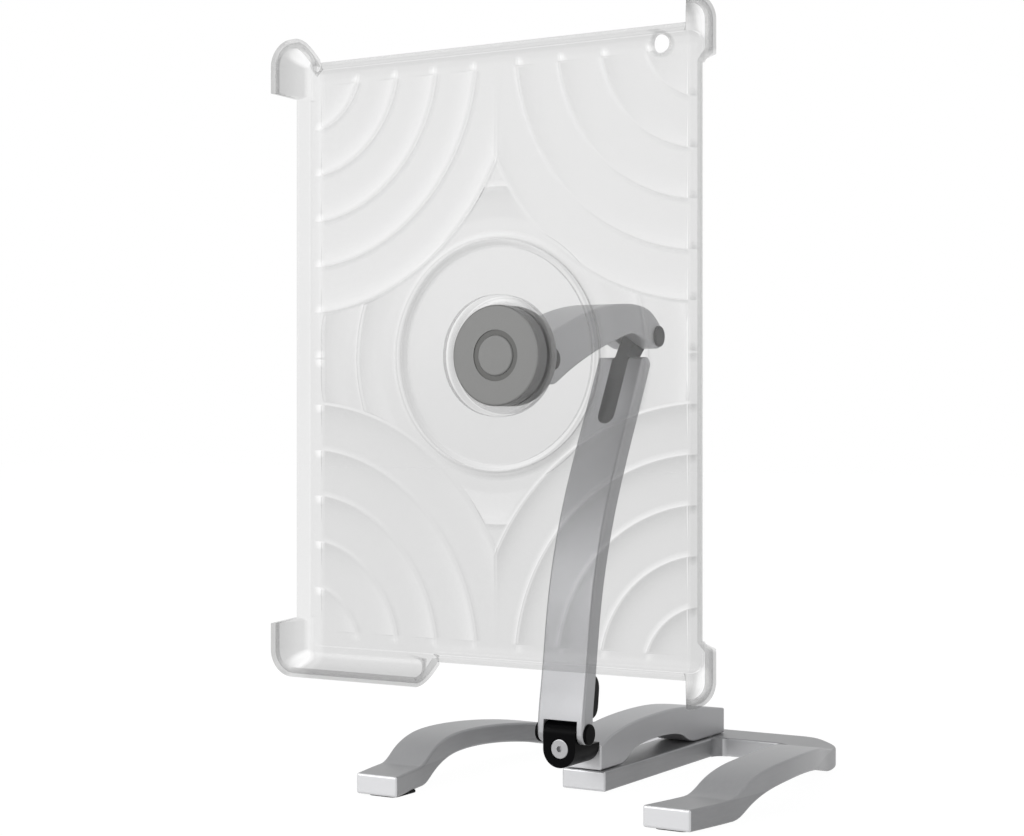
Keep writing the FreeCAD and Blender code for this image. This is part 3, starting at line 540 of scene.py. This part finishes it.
class PaintedTrayLight:
    """Painted light and shade on the tray: how much each spot catches the light from the upper left.

    Places are in millimetres from the tray's middle, dx and dz in from its nearest side and end. left, right
    and top are 1 on those halves of the tray.
    """

    def __init__(self, shape, across, up):
        self.shape, self.across, self.up = shape, across, up
        self.side, self.level = across.sign(), up.sign()
        self.dx = shape.half_width - self.side * across
        self.dz = shape.half_height - self.level * up
        self.radius = (self.dx * self.dx + self.dz * self.dz) ** 0.5
        edge = (shape.border - 0.5, shape.border + 0.5)
        self.inside = self.dx.between(*edge) * self.dz.between(*edge)
        self.beyond = self.radius.between(shape.reach, shape.reach + 0.6)
        self.phase = self.saw(self.radius, shape.first)
        self.left = (1.0 - self.side).between(0.5, 1.5)
        self.right = 1.0 - self.left
        self.top = (1.0 + self.level).between(0.5, 1.5)

    def lit(self, x, z):
        """How much a slope that faces (x, z) turns to the light."""
        return z * LIGHT_UP - x * LIGHT_LEFT

    def saw(self, radius, first):
        """0 to 1 across each ring, from just outside one step to the next step."""
        return ((radius - first) / self.shape.pitch).fraction()

    def painted_ring_light(self, phase, turned):
        """Painted light on a ring: a wide slope that ends in a glow, then a narrow step the other way."""
        glow = phase.between(GLOW_START, GLOW_MOST)
        glow = glow * glow * glow * (1.0 - phase.between(GLOW_MOST, 1.0))
        step = 1.0 - phase.between(0.0, STEP_END)
        return turned * (step * 1.15 - glow)

    def corner_rings(self):
        """Painted light and shade of the rings about the four corners of the panel, out to their common reach.
        """
        turned = self.lit(self.side * self.dx / self.radius * -1.0, self.level * self.dz / self.radius * -1.0)
        return self.painted_ring_light(self.phase, turned) * self.inside * (1.0 - self.beyond)

    def hub_rings(self):
        """Painted light and shade of the rings about the hub between the corner families, of the ridge round
        the disc and of the collar.
        """
        shape = self.shape
        radius = (self.across * self.across + self.up * self.up) ** 0.5
        turned = self.lit(self.across / radius, self.up / radius)
        shown = radius.between(shape.hub_field, shape.hub_field + 1.0) * self.inside * self.beyond
        rings = self.painted_ring_light(self.saw(radius, shape.hub_first), turned) * shown * 0.8
        slopes = radius.near(shape.ridge + 1.9, 1.9) - radius.near(shape.ridge - 1.3, 1.6)
        ridge = turned * slopes * 1.1 - radius.near(shape.ridge + 0.5, 0.7) * 1.1
        collar = turned.between(0.1, 0.8) * radius.near(shape.collar - 1.7, 1.8) * 1.6
        return rings + ridge + collar - radius.near(shape.collar, 0.5) * 0.9

    def painted_ring_ends(self):
        """Painted glows where the corner rings run out on the borders, bright on the left and dark on the
        right.
        """
        border = (self.shape.border, self.shape.border + 1.0)
        glow = self.phase.between(0.8, GLOW_MOST) * (1.0 - self.phase.between(GLOW_MOST, 1.0))
        on_side = self.dx.near(6.4, 2.2) * self.dz.between(*border)
        on_top = self.dz.near(6.4, 2.2) * self.dx.between(*border)
        return glow * (on_side * (self.left * 2.6 - self.right * 1.6) + on_top * (self.top * 1.6 + 0.6))

    def strips(self):
        """Painted light and shade on the two side borders, paler on the left and darker on the right, and a
        painted highlight on their rims.
        """
        start = self.shape.border - 1.0
        border = (1.0 - self.dx.between(start, start + 1.0)) * self.dx.between(-1.0, 0.5)
        rim = (1.0 - self.dx.between(2.2, 2.6)) * self.dx.between(-0.5, 0.0)
        return border * (self.left * 0.45 - self.right * 0.25) + rim * (self.left * 0.35 + self.right * 0.75)

    def painted_glints(self):
        """A painted glint: a bright oval on each clip's corner, falling with the squared distance from its
        middle.
        """
        across = (self.dx - self.right * 2.3) / (self.left * 3.9 + self.right * 3.4)
        along = (self.dz + 1.4 + self.left * 1.9) / (self.left * 3.8 + self.right * 6.8)
        return (1.0 - (across * across + along * along).between(0.3, 1.0)) * 1.5

    def painted_dark_edges(self):
        """Painted shade on the edge of the camera hole and on the clips' outer walls, which turn from the
        light.
        """
        across = self.across - self.shape.eye_x
        along = self.up - self.shape.eye_z
        eye = ((across * across + along * along) ** 0.5).near(self.shape.eye_round, 1.0)
        wall = (self.dx.least(self.dz) * -1.0).between(2.5, 7.4) * (self.left * 0.9 + self.right * 1.7)
        return eye * 1.4 + wall

    def outside(self):
        """0 on faces inside the plastic, where the tray's nodes meet and at the rings' edge, else 1."""
        shape = self.shape
        straight = self.dx.near(shape.side_joint, 0.02) + self.dx.near(shape.border, 0.02)
        in_x = (shape.side_joint + shape.joint_round - self.dx).most(0.0)
        in_z = (shape.end_joint + shape.joint_round - self.dz).most(0.0)
        turned = ((in_x * in_x + in_z * in_z) ** 0.5).near(shape.joint_round, 0.05)
        return (1.0 - straight.between(0.0, 0.1)) * (1.0 - turned.between(0.0, 0.2))


class MOUNT_OT_tray(bpy.types.Operator):
    """Clear plastic on the tray and its retaining ring, with painted light and shade along the ripples"""

    bl_idname = "mount.tray"
    bl_label = "Tray"

    def execute(self, context):
        tint = context.scene.mount_finishes.tray
        shape = millimetres(context.scene.mount_tray)
        finish = Finish("clear_plastic")
        place = finish.place()
        grain = finish.noise(place, 1400.0)
        cloud = finish.noise(place, 30.0, 2.0, 0.5)
        x, _, z = [axis * 1000.0 for axis in finish.axes(place)]
        spot = PaintedTrayLight(shape, x, z - shape.hub_height)
        # Painted light and shade: the rings, border glows, glints and dark edges raise or lower the haze
        light = spot.corner_rings() + spot.hub_rings() + spot.painted_ring_ends() + spot.strips() + spot.painted_glints()
        light = light - spot.painted_dark_edges()
        milk = shape.haze - light * shape.contrast + (cloud - 0.5) * 0.02
        span = shape.milkiest - shape.clearest
        milk = milk.between(shape.clearest, shape.milkiest) * span + shape.clearest
        finish.set(Base_Color=finish.blend(cloud.between(0.3, 0.7), shade(tint, 0.97), shade(tint, 1.03)),
                   Alpha=milk * spot.outside(), Roughness=grain * 0.06 + 0.14,
                   Normal=finish.bump(grain, 0.000006, 0.25))
        dress(["tray_panel", "tray_sides", "tray_ends", "lock_ring"], finish.material)
        return {"FINISHED"}


class TrayBorder:
    """The rim and the clips, in millimetres from the middle, the rim's front and the hub's height.

    The border runs clockwise from the left side, and a rim and a clip take turns. Each run gives four values
    for every profile: its point on the panel's outline, its point on the outer face in front, the direction
    that faces outward there, and how far it moves left for each millimetre of depth.
    """

    def __init__(self, size, tray):
        self.size = size
        self.joint = np.array([size.body_x - tray.side_joint, size.body_z - tray.end_joint])
        self.bend = tray.joint_round
        self.knee = self.joint - self.bend
        self.depth = size.panel_rear - size.clip_front
        self.foot = size.clip_z - size.clip_side
        self.tip = self.foot + size.cut_rise
        self.crown = size.clip_z - size.clip_round
        self.shoulder = size.clip_x - size.clip_round
        self.cut = (size.cut_x - size.cut_slant * self.depth, size.cut_x)
        self.lip = (size.lip_x - size.slant * self.depth, size.lip_x)

    def points(self):
        """All profiles in one array, row by row."""
        rims = [self.left_rim(), self.top_rim(), self.right_rim(), self.bottom_rim()]
        clips = [self.ear(), self.square_clip(1), self.square_clip(-1), self.long_lip()]
        profiles = []
        for rim, clip in zip(rims, clips):
            profiles += [self.rim_profile(*rim), self.clip_profile(*clip)]
        return np.concatenate(profiles)

    def left_rim(self):
        """Straight up the left side, from one clip's foot to the other's."""
        inner = line((-self.joint[0], -self.foot), (-self.joint[0], self.foot), RIM_ROWS)
        outer = line((-self.size.body_x, -self.foot), (-self.size.body_x, self.foot), RIM_ROWS)
        return inner, outer, facing((-1, 0), RIM_ROWS), np.zeros(RIM_ROWS)

    def right_rim(self):
        """The left rim turned half round."""
        inner, outer, normal, slant = self.left_rim()
        return -inner, -outer, -normal, slant

    def level_rim(self, side, start, end):
        """Straight along the top or bottom between two slanted ends, given by their rear and front places.

        A profile's outer point moves ahead by the end's difference, which fades over the first or last part.
        """
        share = np.linspace(0.0, 1.0, RIM_ROWS)
        ahead = np.clip(1 - share * END_PARTS, 0, 1) * (start[1] - start[0])
        ahead += np.clip(1 - (1 - share) * END_PARTS, 0, 1) * (end[1] - end[0])
        inner = line((start[0], side * self.joint[1]), (end[0], side * self.joint[1]), RIM_ROWS)
        outer = line((start[0], side * self.size.body_z), (end[0], side * self.size.body_z), RIM_ROWS)
        outer[:, 0] += ahead
        return inner, outer, facing((0, side), RIM_ROWS), ahead / self.depth

    def top_rim(self):
        """From the ear's end to the cut of the square clip."""
        return self.level_rim(1, (-self.knee[0], self.size.ear_x), self.cut)

    def bottom_rim(self):
        """From the cut of the square clip to the long lip's end."""
        return self.level_rim(-1, self.cut, self.lip)

    def outline_corner(self, right, up, start, end, count):
        """The round corner of the panel's outline beside a clip, between two angles."""
        return arc((right * self.knee[0], up * self.knee[1]), self.bend, start, end, count)[0]

    def arch(self, end, width, count):
        """Falls from the clips' height to the rim's by a power of the way along, with its directions."""
        size = self.size
        share = np.linspace(0.0, 1.0, count)
        fall = size.clip_z - size.body_z
        points = np.stack([end - width * (1 - share), size.clip_z - fall * share ** size.arch_power], axis=1)
        steep = fall * size.arch_power * share ** (size.arch_power - 1)
        out = np.stack([steep, np.full(count, width)], axis=1)
        return points, out / np.linalg.norm(out, axis=1, keepdims=True)

    def ear(self):
        """Up the left side, round the corner and over the arch down to the top rim."""
        size = self.size
        side = line((-size.clip_x, self.tip), (-size.clip_x, self.knee[1]), SIDE_ROWS)
        rise = line((-size.clip_x, self.knee[1]), (-size.clip_x, self.crown), RISE_ROWS)[1:]
        corner, corner_out = arc((-self.shoulder, self.crown), size.clip_round, 180, 90, EAR_CORNER_ROWS)
        arch, arch_out = self.arch(size.ear_x, size.ear_arch, EAR_ARCH_ROWS)
        outer = np.concatenate([side, rise, corner[1:], arch])
        normal = np.concatenate([facing((-1, 0), len(side) + len(rise)), corner_out[1:], arch_out])
        inner = np.concatenate([line((-self.joint[0], self.foot), (-self.joint[0], self.knee[1]), SIDE_ROWS),
                                self.outline_corner(-1, 1, 180, 90, len(outer) - SIDE_ROWS)])
        end_slant = (size.ear_x + self.knee[0]) / self.depth - size.lean * arch_out[-1, 0]
        slant = np.zeros(len(outer))
        slant[-EAR_ARCH_ROWS:] = np.linspace(0, end_slant, EAR_ARCH_ROWS)
        return inner, outer, normal, slant

    def square_clip(self, up):
        """From the cut on the top or bottom edge round a right corner to the cut on the side.

        Its slant falls evenly from the cut's to half of it at the corner, and to none on the side.
        """
        size = self.size
        level = line((size.cut_x, size.clip_z), (self.shoulder, size.clip_z), SIDE_ROWS)
        corner, corner_out = arc((self.shoulder, self.crown), size.clip_round, 90, 0, CLIP_CORNER_ROWS)
        fall = line((size.clip_x, self.crown), (size.clip_x, self.knee[1]), RISE_ROWS)[1:]
        side = line((size.clip_x, self.knee[1]), (size.clip_x, self.tip), SIDE_ROWS)[1:]
        outer = np.concatenate([level, corner[1:], fall, side])
        down = len(fall) + len(side)
        normal = np.concatenate([facing((0, 1), SIDE_ROWS), corner_out[1:], facing((1, 0), down)])
        around = len(outer) - SIDE_ROWS - len(side)
        along = line((self.cut[0], self.joint[1]), (self.knee[0], self.joint[1]), SIDE_ROWS)
        beside = line((self.joint[0], self.knee[1]), (self.joint[0], self.foot), SIDE_ROWS)[1:]
        inner = np.concatenate([along, self.outline_corner(1, 1, 90, 0, around), beside])
        fade = np.concatenate([np.linspace(1, 0.5, SIDE_ROWS), np.linspace(0.5, 0, CLIP_CORNER_ROWS)[1:],
                               np.zeros(down)])
        flip = np.array([1, up])
        run = [inner * flip, outer * flip, normal * flip, fade * size.cut_slant]
        return run if up > 0 else [item[::-1] for item in run]

    def long_lip(self):
        """Down its arched right end, along the bottom, round the corner and up the left side."""
        size = self.size
        arch, arch_out = self.arch(size.lip_x, size.lip_arch, LIP_ARCH_ROWS)
        flip = np.array([1, -1])
        level = line((size.lip_x - size.lip_arch, -size.clip_z), (-self.shoulder, -size.clip_z), LIP_ROWS)[1:]
        corner, corner_out = arc((-self.shoulder, -self.crown), size.clip_round, 270, 180, CLIP_CORNER_ROWS)
        rise = line((-size.clip_x, -self.crown), (-size.clip_x, -self.knee[1]), RISE_ROWS)[1:]
        side = line((-size.clip_x, -self.knee[1]), (-size.clip_x, -self.tip), SIDE_ROWS)[1:]
        outer = np.concatenate([arch[::-1] * flip, level, corner[1:], rise, side])
        normal = np.concatenate([arch_out[::-1] * flip, facing((0, -1), len(level)), corner_out[1:],
                                 facing((-1, 0), len(rise) + len(side))])
        around = len(corner) - 1 + len(rise)
        along = line((self.lip[0], -self.joint[1]), (-self.knee[0], -self.joint[1]), len(arch) + len(level))
        beside = line((-self.joint[0], -self.knee[1]), (-self.joint[0], -self.foot), SIDE_ROWS)[1:]
        inner = np.concatenate([along, self.outline_corner(-1, -1, 270, 180, around), beside])
        slant = np.zeros(len(outer))
        slant[:LIP_ARCH_ROWS] = size.slant - size.lean * arch_out[-1, 0]
        slant[LIP_ARCH_ROWS:LIP_ROWS] = np.linspace(slant[0], 0, LIP_ROWS - LIP_ARCH_ROWS)
        return inner, outer, normal, slant

    def rows(self, outer, normal, slant, insets, depths):
        """Points at insets from the outer face, moved left by the slant times the depth behind the front."""
        across = outer[:, None, :] - normal[:, None, :] * insets[..., None]
        depths = np.broadcast_to(depths, insets.shape)
        left = slant[:, None] * (depths - self.size.clip_front)
        return np.stack([across[..., 0] - left, depths, across[..., 1]], axis=-1)

    def joint_depths(self, inner):
        """How far inside the body the outline lies, and the panel's two faces there, each on a round edge."""
        size = self.size
        inset = np.minimum(size.body_x - np.abs(inner[:, 0]), size.body_z - np.abs(inner[:, 1]))
        rise = np.clip(size.rim_round - inset, 0, None)
        rear = size.panel_rear - size.rim_round + np.sqrt(size.rim_round ** 2 - rise ** 2)
        fall = np.clip(size.rim_wall + size.rim_fillet - inset, 0, size.rim_fillet)
        front = size.panel_front - size.rim_fillet + np.sqrt(size.rim_fillet ** 2 - fall ** 2)
        return inset, front, rear

    def rim_profile(self, inner, outer, normal, slant):
        """A round fillet inside, the wall, its front edge, then a quadratic curve behind to the joint."""
        size = self.size
        inset, _, rear = self.joint_depths(inner)
        inset = inset[:, None]
        share = np.linspace(0, 1, 10)[None, :]
        fillet, wall = size.rim_fillet, size.rim_wall
        first = np.arcsin((wall + fillet - inset) / fillet)
        turn = first + (math.pi / 2 - first) * share
        fillet_in = wall + fillet - fillet * np.sin(turn)
        fillet_y = size.panel_front - fillet + fillet * np.cos(turn)
        inside, outside = np.array(RIM_INNER_EDGE), np.array(RIM_OUTER_EDGE)
        edge_in = np.concatenate([wall - inside[:, 0], outside[:, 0]])
        edge_y = np.concatenate([inside[:, 1], outside[:, 1]])
        toward = 2 * share * (1 - share)
        behind_in = toward * inset * size.rim_bend_in + share ** 2 * inset
        behind_y = edge_y[-1] * (1 - share) ** 2 + toward * size.rim_bend + share ** 2 * rear[:, None]
        insets = np.concatenate([fillet_in, np.tile(edge_in, (len(inner), 1)), behind_in], axis=1)
        depths = np.concatenate([fillet_y, np.tile(edge_y, (len(inner), 1)), behind_y], axis=1)
        return self.rows(outer, normal, slant, insets, depths)

    def lean(self, depth):
        """How far the outer face lies inside its front edge at that depth."""
        return self.size.lean * max(0.0, depth - self.size.flat)

    def clip_shape(self):
        """Inset and depth round a clip: hollow corner, leaning wall, lip, outer face, corner behind."""
        size, lean = self.size, self.lean
        wall, front, rear, face = size.clip_wall, size.panel_front, size.panel_rear, size.clip_front
        above = front - size.hollow
        hollow = curve((wall + lean(front) + size.hollow_foot, front), (wall + lean(front), front),
                       (wall + lean(above), above), HOLLOW_STEPS)
        back = face + size.lip_thick
        free = size.lip_reach - size.lip_edge
        edge = np.array([(wall + lean(0), 0), (wall, size.flat), (wall + size.lip_root, back), (free, back),
                         (size.lip_reach, back - size.lip_root), (size.lip_reach, face + size.lip_edge),
                         (free, face), (size.front_edge, face), (size.front_bevel, face + size.front_bevel),
                         (0.0, face + size.front_edge), (0.0, size.flat), (lean(-1.5), -1.5),
                         (lean(1.5), 1.5)])
        below = rear - size.hollow
        behind = curve((lean(below), below), (lean(rear), rear), (lean(rear) + size.back_round, rear),
                       BEHIND_STEPS)
        return np.concatenate([hollow, edge, behind])

    def clip_profile(self, inner, outer, normal, slant):
        """The clip's shape, and the two plates that run from the panel's faces to its two ends.

        Along the top and bottom it stays outside the outline. On the right the plates start on the round edge.
        """
        size = self.size
        shape = self.clip_shape()
        insets = np.tile(shape[:, 0], (len(inner), 1))
        level = np.abs(inner[:, 1]) >= self.joint[1] - 0.01
        room = (np.abs(outer[:, 1]) - self.joint[1]) / np.maximum(np.abs(normal[:, 1]), 0.2)
        room = np.where(level, np.maximum(room, size.clip_wall), np.inf)[:, None]
        inward = len(HOLLOW_STEPS) + 2
        insets[:, :inward] = np.minimum(insets[:, :inward], room)
        wall = self.rows(outer, normal, slant, insets, shape[:, 1])
        height = wall[..., 2]
        outside = np.sign(height) * np.maximum(np.abs(height), self.joint[1])
        wall[..., 2] = np.where(level[:, None], outside, height)
        _, front, rear = self.joint_depths(inner)
        share = np.array(PLATE_STEPS)[None, :, None]
        plates = []
        ends = ((wall[:, :1], front, size.panel_front), (wall[:, -1:], rear, size.panel_rear))
        for end, edge, depth in ends:
            start = np.where(inner[:, 0] < 0, depth, edge)
            joint = np.stack([inner[:, 0], start, inner[:, 1]], axis=-1)[:, None, :]
            plate = joint * (1 - share) + end * share
            plate[:, 1:, 1] = depth
            plates.append(plate)
        return np.concatenate([plates[0], wall, plates[1][:, ::-1]], axis=1)


class MOUNT_OT_border(bpy.types.Operator):
    """Rim of the tray and its four clips, as one profile carried round the panel"""

    bl_idname = "mount.border"
    bl_label = "Tray rim and clips"

    def execute(self, context):
        size = millimetres(context.scene.mount_border)
        tray = millimetres(context.scene.mount_tray)
        points = TrayBorder(size, tray).points() + np.array([0.0, -size.middle_y, tray.hub_height])
        piece = band("tray_border", points * 0.001)
        piece.data.materials.append(bpy.data.materials["clear_plastic"])
        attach(piece, "tray_body")
        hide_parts("tray_sides", "tray_ends")
        return {"FINISHED"}


class MOUNT_OT_stage(bpy.types.Operator):
    """Pale floor, soft studio lamps, white backdrop and the photograph's camera"""

    bl_idname = "mount.stage"
    bl_label = "Studio stage"

    def execute(self, context):
        scene = context.scene
        stage = scene.mount_stage
        self.floor(scene, stage)
        self.backdrop(scene, stage)
        for name, (place, aim, width) in LAMPS.items():
            self.lamp(scene, name, place, aim, getattr(stage, name), width)
        data = bpy.data.cameras.new("camera")
        data.sensor_width = 36.0
        data.lens = stage.lens
        data.shift_y = stage.shift
        data.clip_start = 0.01
        camera = bpy.data.objects.new("camera", data)
        camera.location = stage.eye
        camera.rotation_euler = (math.pi / 2, 0.0, stage.turn)
        scene.collection.objects.link(camera)
        scene.camera = camera
        scene.view_settings.view_transform = "Standard"
        return {"FINISHED"}

    def seen_white(self, tree, shown, plain):
        """Mixes two shaders: camera, glossy and transmission rays find the first, all others the second."""
        paths = tree.nodes.new("ShaderNodeLightPath")
        seen = paths.outputs["Is Camera Ray"]
        for ray in ("Is Glossy Ray", "Is Transmission Ray"):
            either = tree.nodes.new("ShaderNodeMath")
            either.operation = "MAXIMUM"
            tree.links.new(seen, either.inputs[0])
            tree.links.new(paths.outputs[ray], either.inputs[1])
            seen = either.outputs[0]
        mix = tree.nodes.new("ShaderNodeMixShader")
        for socket, link in zip(mix.inputs, (seen, plain, shown)):
            tree.links.new(link, socket)
        return mix.outputs[0]

    def floor(self, scene, stage):
        """A level square that looks nearly white and takes the shadow."""
        half = stage.floor_half
        mesh = bpy.data.meshes.new("floor")
        mesh.from_pydata([(-half, -half, 0.0), (half, -half, 0.0), (half, half, 0.0), (-half, half, 0.0)],
                         [], [(0, 1, 2, 3)])
        floor = bpy.data.objects.new("floor", mesh)
        scene.collection.objects.link(floor)
        finish = Finish("pale_floor")
        finish.set(Base_Color=shade((stage.floor_shade,) * 3), Roughness=0.9, Specular_IOR_Level=0.1)
        tree, plain = finish.tree, finish.shader.outputs[0]
        glow = tree.nodes.new("ShaderNodeEmission")
        glow.inputs["Strength"].default_value = stage.backdrop * stage.floor_glow
        soft = tree.nodes.new("ShaderNodeMixShader")
        soft.inputs[0].default_value = stage.floor_white
        tree.links.new(plain, soft.inputs[1])
        tree.links.new(glow.outputs[0], soft.inputs[2])
        out = self.seen_white(tree, soft.outputs[0], plain)
        tree.links.new(out, tree.nodes["Material Output"].inputs["Surface"])
        mesh.materials.append(finish.material)

    def backdrop(self, scene, stage):
        """A world that looks white and gives a weaker even light."""
        world = bpy.data.worlds.new("studio")
        scene.world = world
        world.use_nodes = True
        tree = world.node_tree
        room = tree.nodes["Background"]
        white = tree.nodes.new("ShaderNodeBackground")
        for light, strength in ((room, stage.room), (white, stage.backdrop)):
            light.inputs["Color"].default_value = (1.0, 1.0, 1.0, 1.0)
            light.inputs["Strength"].default_value = strength
        out = self.seen_white(tree, white.outputs[0], room.outputs[0])
        tree.links.new(out, tree.nodes["World Output"].inputs["Surface"])

    def lamp(self, scene, name, place, aim, power, width):
        """A square lamp that faces its aim."""
        data = bpy.data.lights.new(name, "AREA")
        data.energy = power
        data.size = width
        lamp = bpy.data.objects.new(name, data)
        lamp.location = place
        x, y, z = (aim[k] - place[k] for k in range(3))
        lamp.rotation_euler = (math.pi / 2 + math.atan2(z, math.hypot(x, y)), 0.0, math.atan2(-x, y))
        scene.collection.objects.link(lamp)


OPERATORS = (MOUNT_OT_metal, MOUNT_OT_black, MOUNT_OT_steel, MOUNT_OT_hub, MOUNT_OT_tray, MOUNT_OT_border,
             MOUNT_OT_stage)
GROUPS = {
    "mount_finishes": MOUNT_PG_finishes,
    "mount_bars": MOUNT_PG_bars,
    "mount_tray": MOUNT_PG_tray,
    "mount_border": MOUNT_PG_border,
    "mount_stage": MOUNT_PG_stage,
}


class MOUNT_PT_panel(bpy.types.Panel):
    """Lists the steps that dress the mount, and their sizes and colours"""

    bl_label = "Tablet mount"
    bl_idname = "MOUNT_PT_panel"
    bl_space_type = "VIEW_3D"
    bl_region_type = "UI"
    bl_category = "Tablet mount"

    def draw(self, context):
        for operator in OPERATORS:
            self.layout.operator(operator.bl_idname)
        for name in GROUPS:
            group = getattr(context.scene, name)
            box = self.layout.box()
            for key in group.bl_rna.properties.keys():
                if key not in ("rna_type", "name"):
                    box.prop(group, key)


CLASSES = tuple(GROUPS.values()) + OPERATORS + (MOUNT_PT_panel,)


def register():
    for item in CLASSES:
        bpy.utils.register_class(item)
    for name, group in GROUPS.items():
        setattr(bpy.types.Scene, name, bpy.props.PointerProperty(type=group))


def unregister():
    for name in GROUPS:
        delattr(bpy.types.Scene, name)
    for item in reversed(CLASSES):
        bpy.utils.unregister_class(item)


def main():
    register()
    bpy.ops.mount.metal()
    bpy.ops.mount.black()
    bpy.ops.mount.steel()
    bpy.ops.mount.hub()
    bpy.ops.mount.tray()
    bpy.ops.mount.border()
    bpy.ops.mount.stage()


if __name__ == "__main__":
    main()
